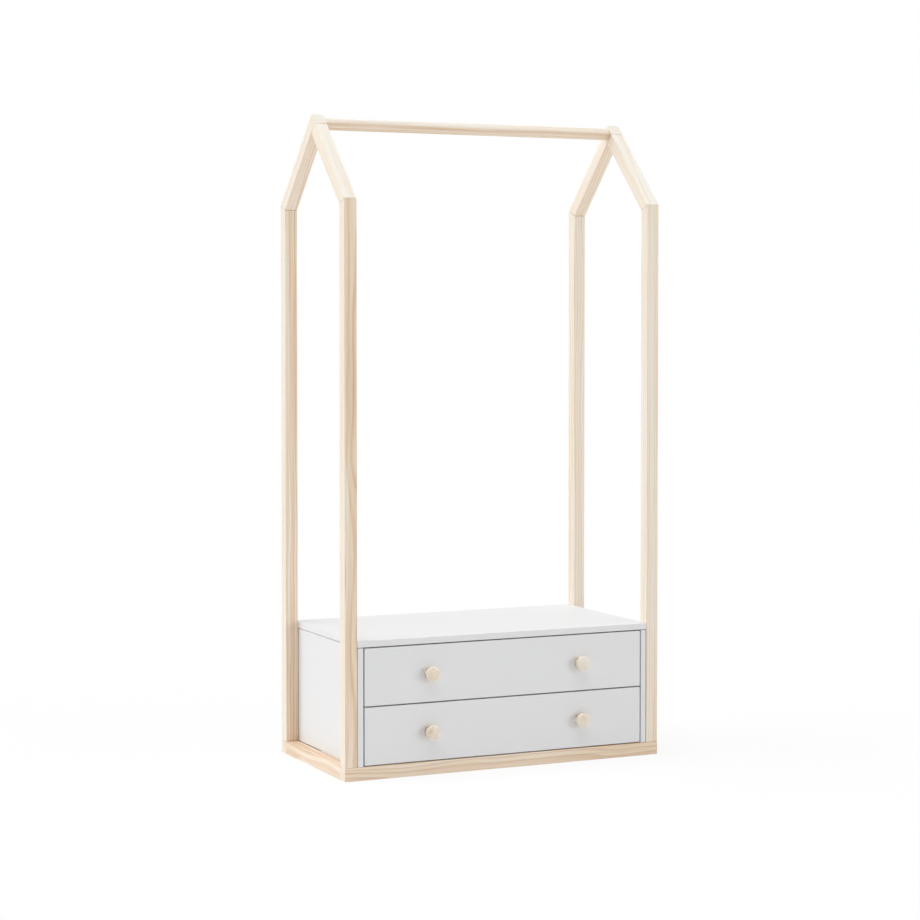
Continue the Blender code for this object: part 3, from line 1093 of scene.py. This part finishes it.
@dataclass(frozen=True)
class EndFrame:
    """One house-shaped end frame: two posts and two rafters.

    Attributes:
        side: its end of the wardrobe.
        timber: what it is made of.
        roof_angle: of the rafters.
        gap: between touching pieces.
        rafter_grain: of a rafter, with the tones of its sides, its upper face and its underside; its
            pale upper face and ruddier underside are painted light and shade.
        back_shift: how much further along its log a back rafter lay.
        side_shift: how much further a left rafter lay, and how much less far a right one.
    """

    side: Side
    timber: Timber = Timber()
    roof_angle: float = math.radians(45)
    gap: float = 0.0008
    rafter_grain: Grain = Grain((0.012, 0.034), (0.29, 0.39, 0.12, 0.50), 0.1)
    back_shift: float = 0.6
    side_shift: float = 1.3

    def build(self) -> None:
        """Makes the posts and the rafters."""
        for face in Face:
            self.add_post(face)
            self.add_rafter(face)

    def node(self, face: Face, piece: str) -> str:
        """Returns the CAD node of a post or a rafter."""
        return f"{word(self.side)}_{word(face)}_{piece}"

    def eave(self, face: Face) -> np.ndarray:
        """Finds the outer corner where a post and its rafter meet.

        Args:
            face: where the post stands.

        Returns:
            The corner, at half the post's width.
        """
        low, high = corners(self.node(face, "post"))
        outer = low if face is Face.FRONT else high
        return np.array([(low[0] + high[0]) / 2, outer[1], high[2]])

    def slope(self, face: Face) -> Tuple[np.ndarray, np.ndarray]:
        """Returns the way up a rafter and the way out of its upper face."""
        c, s = math.cos(self.roof_angle), math.sin(self.roof_angle)
        return np.array([0, face.value * c, s]), np.array([0, -face.value * s, c])

    def mitre(self, face: Face) -> np.ndarray:
        """Returns the normal of the cut between a post and its rafter."""
        angle = (math.pi / 2 - self.roof_angle) / 2
        return np.array([0, face.value * math.sin(angle), math.cos(angle)])

    def add_post(self, face: Face) -> None:
        """Makes a post, mitred at its head.

        Args:
            face: where it stands.
        """
        node = self.node(face, "post")
        low, high = corners(node)
        foot, head = Plane(low, HEIGHT_WAY), Plane(self.eave(face), self.mitre(face))
        middle, size = (low + high) / 2, (high - low)[:2]
        bar = Bar(middle, HEIGHT_WAY, WIDTH_WAY, size, foot, head, self.timber.edges)
        self.timber.add(node, bar, POST_GRAINS[self.side, face])

    def add_rafter(self, face: Face) -> None:
        """Makes a rafter: the back one runs on over the front one, flush with the front slope.

        Args:
            face: where its foot stands.
        """
        eave, mitre = self.eave(face), self.mitre(face)
        way, out = self.slope(face)
        low, high = corners(self.node(face, "post"))
        size = high[0] - low[0]
        foot = Plane(eave + mitre * self.gap, mitre)
        if face is Face.BACK:
            head = Plane(self.eave(Face.FRONT), self.slope(Face.FRONT)[1])
        else:
            back_out = self.slope(Face.BACK)[1]
            head = Plane(self.eave(Face.BACK) - back_out * (size + self.gap), back_out)
        middle = eave - out * size / 2
        bar = Bar(middle, way, WIDTH_WAY, (size, size), foot, head, self.timber.edges)
        self.timber.add(self.node(face, "rafter"), bar, self.own_grain(face))

    def own_grain(self, face: Face) -> Grain:
        """Fits the rafters' grain to one of them.

        At the back the grain's up points into the frame, so the last two tones swap there, and the
        heart is on the other side of the middle.

        Args:
            face: where the rafter's foot stands.

        Returns:
            Its grain.
        """
        left, right, upper, under = self.rafter_grain.tones
        across, up = self.rafter_grain.pith
        shift = -self.side_shift * self.side.value
        if face is Face.BACK:
            upper, under, up, shift = under, upper, -up, shift + self.back_shift
        tones = (left, right, upper, under)
        return replace(self.rafter_grain, pith=(across, up), tones=tones, shift=shift)


@dataclass(frozen=True)
class BaseFrame:
    """The low frame that the posts and the chest stand on.

    Attributes:
        timber: what it is made of.
        clearance: round the heads of the screws in its underside.
        head_height: of those heads.
        bore_sides: points round their bores.
        long_grain, short_grain: of its front and back rails, and of its side rails, whose ruddy tops
            are painted shade.
        long_apart, short_apart: half of what lay between each two of those in their log.
    """

    timber: Timber = Timber()
    clearance: float = 0.0003
    head_height: float = 0.004
    bore_sides: int = 32
    long_grain: Grain = Grain((0.034, -0.022), (0.76, 0.6, 0.5, 0.8), 0.42)
    short_grain: Grain = Grain((0.026, 0.014), (0.78, 0.6, 1.15, 0.6), 0.3, shift=2.2)
    long_apart: float = 0.35
    short_apart: float = 1.0

    def build(self) -> None:
        """Makes the front and back rails of full width and the side rails between them."""
        for face in Face:
            grain = replace(self.long_grain, shift=self.long_apart * face.value)
            rail = self.add_rail(word(face), WIDTH_WAY, DEPTH_WAY, grain)
            screws = [f"{word(side)}_{word(face)}_post_screw" for side in Side]
            bore(rail, [self.screw_bore(screw) for screw in screws])
        for side in Side:
            shift = self.short_grain.shift + self.short_apart * side.value
            grain = replace(self.short_grain, shift=shift)
            self.add_rail(word(side), DEPTH_WAY, WIDTH_WAY, grain)

    def screw_bore(self, screw: str) -> Rings:
        """Shapes the bore of a post screw's head, from below the rail to the head's top.

        Args:
            screw: the screw's CAD node.

        Returns:
            Its rings of points.
        """
        low, high = corners(screw)
        radius = (high[0] - low[0]) / 2 + self.clearance
        foot, top = -self.clearance, low[2] + self.head_height + self.clearance
        profile = np.array([(radius, foot), (radius, top)])
        middle = (low + high) / 2
        return turned(profile, (middle[0], middle[1], 0.0), HEIGHT_WAY, self.bore_sides)

    def add_rail(
        self, place: str, along: Triple, across: Triple, grain: Grain
    ) -> bpy.types.Object:
        """Makes one rail with square ends.

        Args:
            place: its side of the base.
            along: the way of its length.
            across: the level way square to it.
            grain: its place in the log.

        Returns:
            The piece.
        """
        node = f"base_{place}_rail"
        low, high = corners(node)
        size = ((high - low) @ across, high[2] - low[2])
        start, end = Plane(low, along), Plane(high, along)
        bar = Bar((low + high) / 2, along, across, size, start, end, self.timber.edges)
        return self.timber.add(node, bar, grain)


@dataclass(frozen=True)
class HangingRail:
    """The round rail between the two peaks.

    Attributes:
        ease: rounding of the edges of its ends.
        ease_steps: points along that rounding.
        sides: points round it.
        turn: about its length, from square, of the log that it was cut from.
        grain: its place in the log, with tones that make its upper half paler and its lower half
            ruddier, as painted light and shade.
        wood: its finish.
    """

    ease: float = 0.001
    ease_steps: int = 4
    sides: int = 64
    turn: float = math.radians(35)
    grain: Grain = Grain((0.02, -0.03), (0.72, 0.35, 0.72, 0.24), 0.4)
    wood: WoodFinish = WoodFinish(sway=0.003)

    def build(self) -> None:
        """Turns the rail about its length, with rounded ends."""
        low, high = corners("hanging_rail")
        middle = (low + high) / 2
        radius, half = (high[2] - low[2]) / 2, (high[0] - low[0]) / 2
        turn = np.linspace(0, np.pi / 2, self.ease_steps)
        rounded = (radius, half) - self.ease * (1 - circle(turn))
        profile = np.concatenate([rounded[::-1] * (1, -1), rounded])
        across = (0.0, math.cos(self.turn), math.sin(self.turn))
        cut = Cut(middle, WIDTH_WAY, across, (radius, radius), self.grain)
        pine = self.wood.material("pine of the rail", cut)
        shape = turned(profile, middle, WIDTH_WAY, self.sides)
        add_piece("hanging_rail_turned", [shape], "wardrobe", pine, ["hanging_rail"])


@dataclass(frozen=True)
class Board:
    """A flat painted board, whose rounded outline is carried through its thickness."""

    edges: Edges = Edges(0.0011, 0.0005)
    paint: PaintFinish = PaintFinish()

    def add(
        self, node: str, body: str, low_trim: Triple = NO_TRIM, high_trim: Triple = NO_TRIM
    ) -> bpy.types.Object:
        """Makes a board in place of a CAD node.

        Args:
            node: the CAD node.
            body: the body that it moves with.
            low_trim, high_trim: how far it stops short of the node's lowest and highest corner.

        Returns:
            The piece.
        """
        low, high = corners(node)
        low, high = low + low_trim, high - high_trim
        size = high - low
        order = np.argsort(size)
        along, across = np.eye(3)[order[:2]]
        start, end = Plane(low, along), Plane(high, along)
        bar = Bar((low + high) / 2, along, across, size[order[1:]], start, end, self.edges)
        paint = self.paint.material(f"paint of {node}", low, high)
        return add_piece(f"{node}_painted", [bar.points()], body, paint, [node])


@dataclass(frozen=True)
class Chest:
    """The chest's case: four painted boards, the sheet behind them and its pins.

    Attributes:
        board: what the boards are made of.
        sheet: the back sheet's finish.
        shadow_gap: how much further the sides stop below the top than in the CAD model.
        left_gap, right_gap: how much further they stop short of the posts.
        pin: a pin's head.
        pin_inset: from the sheet's edge to its pins.
        pin_spacing: the most that there is between two pins.
    """

    board: Board = Board()
    sheet: HardboardFinish = HardboardFinish()
    shadow_gap: float = 0.0013
    left_gap: float = 0.0008
    right_gap: float = 0.0022
    pin: Head = Head(0.0026, 0.0008, 0.0004)
    pin_inset: float = 0.008
    pin_spacing: float = 0.095

    def build(self) -> None:
        """Makes the boards and the pins, and dresses the back sheet."""
        left, under = (self.left_gap, 0.0, 0.0), (0.0, 0.0, self.shadow_gap)
        right_and_under = (self.right_gap, 0.0, self.shadow_gap)
        self.board.add("chest_top_panel", "wardrobe")
        self.board.add("chest_bottom_panel", "wardrobe")
        self.board.add("chest_left_panel", "wardrobe", left, under)
        self.board.add("chest_right_panel", "wardrobe", high_trim=right_and_under)
        dress("chest_back_panel", self.sheet.material("back sheet"))
        self.add_pins()

    def add_pins(self) -> None:
        """Sets the pins evenly along the sheet's four edges, with one in each corner."""
        low, high = corners("chest_back_panel")
        low_x, low_z = low[0] + self.pin_inset, low[2] + self.pin_inset
        high_x, high_z = high[0] - self.pin_inset, high[2] - self.pin_inset
        across = np.linspace(low_x, high_x, math.ceil((high_x - low_x) / self.pin_spacing) + 1)
        upright = np.linspace(low_z, high_z, math.ceil((high_z - low_z) / self.pin_spacing) + 1)
        places = [(x, z) for z in (low_z, high_z) for x in across]
        places += [(x, z) for x in (low_x, high_x) for z in upright[1:-1]]
        shapes = [self.pin.points((x, high[1], z), DEPTH_WAY) for x, z in places]
        steel = PIN_STEEL.material("pin steel")
        add_piece("chest_back_pins", shapes, "wardrobe", steel)


@dataclass(frozen=True)
class Knob:
    """One turned knob and the screw that holds it from inside the drawer.

    Attributes:
        profile_shares: its outline, as shares of its radius and of its length.
        profile_steps: points of its outline between two of those.
        sides: points round it.
        grain: of a knob in the middle of the wardrobe's foot, whose lean paints shade on the knob's
            foot by the drawer front.
        fading: how much paler the wood is for each metre to the right or up.
        apart: how far apart in their log two knobs lay, for each metre between them.
        wood: its finish.
        head: its screw's head.
        shank_radius: of the screw's shank.
        tip_share: radius of its tip, as a share of the shank's.
        shank_sides: points round it.
    """

    profile_shares: Tuple[Pair, ...] = (
        (0.80, 0.0),
        (0.78, 0.08),
        (0.75, 0.20),
        (0.78, 0.33),
        (0.87, 0.46),
        (0.96, 0.58),
        (1.0, 0.68),
        (0.985, 0.78),
        (0.925, 0.87),
        (0.78, 0.94),
        (0.50, 0.985),
        (0.15, 1.0),
    )
    profile_steps: int = 5
    sides: int = 64
    grain: Grain = Grain((0.012, 0.02), (0.68, 0.68, 0.73, 0.63), 0.40, -0.9)
    fading: float = 0.5
    apart: float = 9.0
    # The last two tints are the dark browns of the painted shade on the knob's foot.
    wood: WoodFinish = WoodFinish(
        ((0.96, 0.90, 0.80), (0.95, 0.80, 0.63), (0.76, 0.58, 0.41), (0.52, 0.38, 0.26)),
        (0.68, 0.50, 0.33),
        ring=0.0034,
        sway=0.003,
        clouds=3.2,
        streaks=2.6,
        blush=0.12,
    )
    head: Head = Head(0.004, 0.002, 0.0007, 0.00055, 0.0009)
    shank_radius: float = 0.002
    tip_share: float = 0.5
    shank_sides: int = 16

    def own_grain(self, across: float, up: float) -> Grain:
        """Returns the grain of the knob at a place on the front."""
        end = self.grain.end - self.fading * (across + up)
        return replace(self.grain, end=end, shift=self.apart * (across + 2 * up))

    def add(self, node: str, body: str, steel: bpy.types.Material) -> None:
        """Turns one knob, whose fibres run out of the front, and heads its screw.

        Args:
            node: the knob's CAD node.
            body: the drawer's body.
            steel: the screw's finish.
        """
        low, high = corners(node)
        middle = (low + high) / 2
        radius, length = (high[0] - low[0]) / 2, high[1] - low[1]
        profile = smooth_profile(self.profile_shares, self.profile_steps) * (radius, length)
        profile[:, 0] = np.minimum(profile[:, 0], radius)
        grain = self.own_grain(float(middle[0]), float(middle[2]))
        cut = Cut(middle, DEPTH_WAY, HEIGHT_WAY, (radius, radius), grain, length / 2)
        wood = self.wood.material(f"wood of {node}", cut)
        shape = turned(profile, (middle[0], high[1], middle[2]), FRONT_WAY, self.sides)
        add_piece(f"{node}_turned", [shape], body, wood, [node])

        screw = f"{node}_screw"
        low, high = corners(screw)
        tip = np.array((middle[0], low[1], middle[2]))
        full, length = self.shank_radius, high[1] - low[1] - self.head.height
        profile = np.array([(self.tip_share * full, 0.0), (full, full), (full, length)])
        shank = turned(profile, tip, DEPTH_WAY, self.shank_sides)
        head = self.head.points(tip + length * np.array(DEPTH_WAY), DEPTH_WAY)
        add_piece(f"{screw}_headed", [shank, head], body, steel, [screw])


@dataclass(frozen=True)
class Runner:
    """One telescopic runner: three rolled channels, and the screws in the outer two.

    Attributes:
        level: its drawer.
        side: its side of the drawer.
        bend: outer radius of the channels' bends.
        sheet: thickness of their steel.
        head: a screw's head.
        screw_shares: places of the screws, as shares of the length from the front.
    """

    level: Level
    side: Side
    bend: float = 0.0026
    sheet: float = 0.0012
    head: Head = Head(0.0036, 0.0012, 0.0005, 0.0005, 0.0006)
    screw_shares: Tuple[float, ...] = (0.07, 0.40, 0.86)

    def build(self, plating: bpy.types.Material, steel: bpy.types.Material) -> None:
        """Makes the channels, nested in one another, and their screws.

        Args:
            plating: the channels' finish.
            steel: the screws' finish.
        """
        inwards = -self.side.value
        members = {
            "cabinet": ("wardrobe", inwards),
            "middle": (f"{word(self.level)}_runner_middles", inwards),
            "drawer": (f"{word(self.level)}_drawer", -inwards),
        }
        for member, (body, facing) in members.items():
            name = f"{word(self.level)}_{word(self.side)}_runner_{member}"
            node = f"{name}_member"
            low, high = corners(node)
            web = np.array([low[0] if facing > 0 else high[0], low[1], (low[2] + high[2]) / 2])
            axis = np.array((facing, 0.0, 0.0))
            channel = self.channel(high - low, web, axis)
            add_piece(f"{node}_rolled", [channel], body, plating, [node])
            if member != "middle":
                heads = self.heads(high[1] - low[1], web, axis)
                add_piece(f"{name}_screws", heads, body, steel)

    def channel(self, size: np.ndarray, web: np.ndarray, axis: np.ndarray) -> Rings:
        """Rolls one channel: point = web + distance * axis + height * up, at its front and back.

        Args:
            size: of the channel's box.
            web: the front end of its web's outer face, at mid height.
            axis: the way that its flanges point.

        Returns:
            Its front ring and its back ring.
        """
        section = channel_section(size[0], size[2] / 2, self.bend, self.sheet)
        front = web + section @ np.stack([axis, HEIGHT_WAY])
        return np.stack([front, front + size * DEPTH_WAY])

    def heads(self, length: float, web: np.ndarray, axis: np.ndarray) -> List[Rings]:
        """Seats the screws' heads on the inside of a web.

        Args:
            length: of the web.
            web: the front end of its outer face, at mid height.
            axis: the way that its flanges point.

        Returns:
            The rings of each.
        """
        inside = web + self.sheet * axis
        shares = np.array(self.screw_shares)[:, None]
        return [self.head.points(seat, axis) for seat in inside + shares * length * DEPTH_WAY]


@dataclass(frozen=True)
class Drawer:
    """One drawer: a painted front, a box, two turned knobs and two runners.

    Attributes:
        level: where it runs.
        front: what its front is made of.
        trim: how far the front stops short of its CAD outline all round.
        knob: what its knobs are.
        box_wood: the box boards' finish.
        box_pith: where the heart of their logs ran.
        side_shift: how far along its log a side lay from the middle, one each way.
        back_shift: how far along its log the back lay.
        sheet: the bottom's finish.
        head: the head of a screw through a side into the box's back.
        screw_inset: from the box's back and from a side's edges to those screws.
    """

    level: Level
    front: Board = Board()
    trim: Triple = (0.001, 0.0, 0.00025)
    knob: Knob = Knob()
    box_wood: WoodFinish = WoodFinish(
        ((0.90, 0.83, 0.71), (0.87, 0.77, 0.62), (0.84, 0.71, 0.54)), (0.70, 0.53, 0.35), 0.005
    )
    box_pith: Pair = (0.07, 0.02)
    side_shift: float = 0.4
    back_shift: float = 0.9
    sheet: HardboardFinish = HardboardFinish((0.84, 0.83, 0.80))
    head: Head = Head(0.0034, 0.0010, 0.0003, 0.0005, 0.0007)
    screw_inset: Pair = (0.006, 0.020)

    def build(self, plating: bpy.types.Material, steel: bpy.types.Material) -> None:
        """Makes the front, the knobs and the runners, and dresses the box.

        Args:
            plating: the runners' finish.
            steel: the screws' finish.
        """
        name = word(self.level)
        body = f"{name}_drawer"
        self.front.add(f"{body}_front", body, self.trim, self.trim)
        for side in Side:
            self.knob.add(f"{name}_{word(side)}_knob", body, steel)
            shift = self.side_shift * side.value
            self.dress_board(f"{body}_{word(side)}_side", DEPTH_WAY, shift)
            self.add_box_screws(side, body, steel)
            Runner(self.level, side).build(plating, steel)
        self.dress_board(f"{body}_back", WIDTH_WAY, self.back_shift)
        dress(f"{body}_bottom", self.sheet.material(f"{name} drawer bottom"))

    def add_box_screws(self, side: Side, body: str, steel: bpy.types.Material) -> None:
        """Sets the two screws that hold the box's back to one of its sides.

        Args:
            side: which of its sides.
            body: the drawer's body.
            steel: the screws' finish.
        """
        low, high = corners(f"{body}_{word(side)}_side")
        behind, rise = self.screw_inset
        x, y = high[0] if side is Side.RIGHT else low[0], high[1] - behind
        axis = np.array((side.value, 0.0, 0.0))
        shapes = [self.head.points((x, y, z), axis) for z in (low[2] + rise, high[2] - rise)]
        add_piece(f"{body}_{word(side)}_back_screws", shapes, body, steel)

    def dress_board(self, node: str, along: Triple, shift: float) -> None:
        """Dresses a board of the box.

        Args:
            node: its CAD node.
            along: the way of its fibres.
            shift: how far along its log it lay.
        """
        low, high = corners(node)
        across = DEPTH_WAY if along == WIDTH_WAY else WIDTH_WAY
        half = (float((high - low) @ across) / 2, float(high[2] - low[2]) / 2)
        cut = Cut((low + high) / 2, along, across, half, Grain(self.box_pith, shift=shift))
        dress(node, self.box_wood.material(f"wood of {node}", cut))


@dataclass(frozen=True)
class HiddenFixings:
    """The screws and dowels inside the wood.

    Attributes:
        dowel_radius: of the dowels.
        beech: their finish.
    """

    dowel_radius: float = 0.004
    beech: WoodFinish = WoodFinish(
        ((0.78, 0.60, 0.42), (0.70, 0.50, 0.33)), (0.55, 0.36, 0.22), 0.002
    )

    def build(self, steel: bpy.types.Material) -> None:
        """Dresses each of them that is still a CAD node.

        Args:
            steel: the screws' finish.
        """
        half = (self.dowel_radius, self.dowel_radius)
        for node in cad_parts:
            if node.endswith(("post_screw", "rail_screw")):
                dress(node, steel)
            elif node.endswith("dowel"):
                low, high = corners(node)
                cut = Cut((low + high) / 2, HEIGHT_WAY, WIDTH_WAY, half, Grain())
                dress(node, self.beech.material(f"beech of {node}", cut))


@dataclass(frozen=True)
class Lamp:
    """A broad soft lamp, far off.

    Attributes:
        name: where it stands.
        power: of its light.
        spread: the angle that it fills, as seen from the wardrobe.
        way: the way to it.
    """

    name: str
    power: float
    spread: float
    way: Triple

    def add(self, scene: bpy.types.Scene) -> None:
        """Adds the lamp to the scene.

        Args:
            scene: what it is added to.
        """
        light = bpy.data.lights.new(self.name, "SUN")
        light.energy = self.power
        light.angle = self.spread
        lamp = bpy.data.objects.new(self.name, light)
        x, y, z = np.array(self.way) / np.linalg.norm(self.way)
        lamp.rotation_euler = (math.acos(z), 0, math.atan2(x, -y))
        scene.collection.objects.link(lamp)


@dataclass(frozen=True)
class Studio:
    """Camera, lamps, sky and floor.

    Attributes:
        eye: the camera's place.
        heading: its turn from +Y, to the right where negative.
        tilt: how far it looks down.
        lens, sensor: its focal length and its sensor's width, in millimetres.
        shift: of the lens, which keeps the uprights upright.
        lamps: on the left, on the right of the camera and overhead.
        sky: strength of the light from all round.
        floor_size: of the floor.
        floor_drop: from the wardrobe's foot to the floor.
        floor_sends: share of light that the floor sends back.
        floor_glow: how much of the floor's white near the object is no shadow's to take.
        glow_reach: the distances between which that grows to all of it.
    """

    eye: Triple = (-2.635, -5.598, 1.175)
    heading: float = math.radians(-24.930)
    tilt: float = math.radians(2.0)
    lens: float = 91.01
    sensor: float = 36.0
    shift: float = -0.07
    lamps: Tuple[Lamp, ...] = (
        Lamp("left lamp", 1.38, math.radians(50), (-0.87, 0.40, 0.24)),
        Lamp("right lamp", 0.97, math.radians(38), (0.62, -0.72, 0.14)),
        Lamp("top lamp", 1.98, math.radians(70), (-0.15, -0.05, 1.0)),
    )
    sky: float = 0.20
    floor_size: float = 60.0
    floor_drop: float = 0.0002
    floor_sends: float = 0.82
    floor_glow: float = 0.80
    glow_reach: Pair = (0.9, 3.5)

    def build(self) -> None:
        """Sets up the studio."""
        scene = bpy.context.scene
        scene.view_settings.view_transform = "Standard"
        self.add_camera(scene)
        for lamp in self.lamps:
            lamp.add(scene)
        self.light_sky(scene)
        self.add_floor(scene)

    def add_camera(self, scene: bpy.types.Scene) -> None:
        """Adds the camera, as in the photograph.

        Args:
            scene: what it is added to.
        """
        lens = bpy.data.cameras.new("camera")
        lens.sensor_width = self.sensor
        lens.lens = self.lens
        lens.shift_y = self.shift
        camera = bpy.data.objects.new("camera", lens)
        camera.location = self.eye
        camera.rotation_euler = (math.pi / 2 - self.tilt, 0, self.heading)
        scene.collection.objects.link(camera)
        scene.camera = camera

    def light_sky(self, scene: bpy.types.Scene) -> None:
        """Lights the world evenly, and shows it white to the camera and in gloss and glass.

        Args:
            scene: what it is added to.
        """
        world = bpy.data.worlds.new("studio")
        world.use_nodes = True
        scene.world = world
        graph = Graph(world.node_tree)
        background = world.node_tree.nodes["Background"]
        graph.feed(background.inputs["Color"], WHITE)
        graph.feed(background.inputs["Strength"], self.sky + (1 - self.sky) * graph.seen())

    def add_floor(self, scene: bpy.types.Scene) -> None:
        """Adds the pale floor, white to the camera, with the object's shadow on it.

        Args:
            scene: what it is added to.
        """
        half = self.floor_size / 2
        mesh = bpy.data.meshes.new("floor")
        square = [(-half, -half, 0), (half, -half, 0), (half, half, 0), (-half, half, 0)]
        mesh.from_pydata(square, [], [(0, 1, 2, 3)])
        mesh.materials.append(self.floor_material())
        floor = bpy.data.objects.new("floor", mesh)
        floor.location.z = -self.floor_drop
        scene.collection.objects.link(floor)

    def floor_material(self) -> bpy.types.Material:
        """Makes the floor's material, which glows white to the camera, more so further out.

        Returns:
            The material.
        """
        shader = Shader("floor")
        seen = shader.seen()
        shader.surface.inputs["Specular IOR Level"].default_value = 0.0
        shader.finish(shader.mixed(seen, opaque((self.floor_sends,) * 3), WHITE), 1.0)
        distance = shader.vector("LENGTH", shader.place(), output="Value")
        glow = self.floor_glow + (1 - self.floor_glow) * distance.step(*self.glow_reach)
        white = shader.node("ShaderNodeEmission", None, {"Strength": 1.0})
        lit = Value(shader, shader.surface.outputs[0])
        blend = shader.node("ShaderNodeMixShader", None, {0: seen * glow, 1: lit, 2: white})
        shader.feed(shader.tree.nodes["Material Output"].inputs["Surface"], blend)
        return shader.material


def main() -> None:
    """Builds the wardrobe's looks from the floor up, and the studio round it."""
    logging.basicConfig(level=logging.INFO, format="%(name)s: %(message)s")
    plating = RUNNER_STEEL.material("zinc plate")
    steel = SCREW_STEEL.material("screw steel")
    BaseFrame().build()
    for side in Side:
        EndFrame(side).build()
    HangingRail().build()
    Chest().build()
    for level in Level:
        Drawer(level).build(plating, steel)
    HiddenFixings().build(steel)
    Studio().build()


if __name__ == "__main__":
    main()
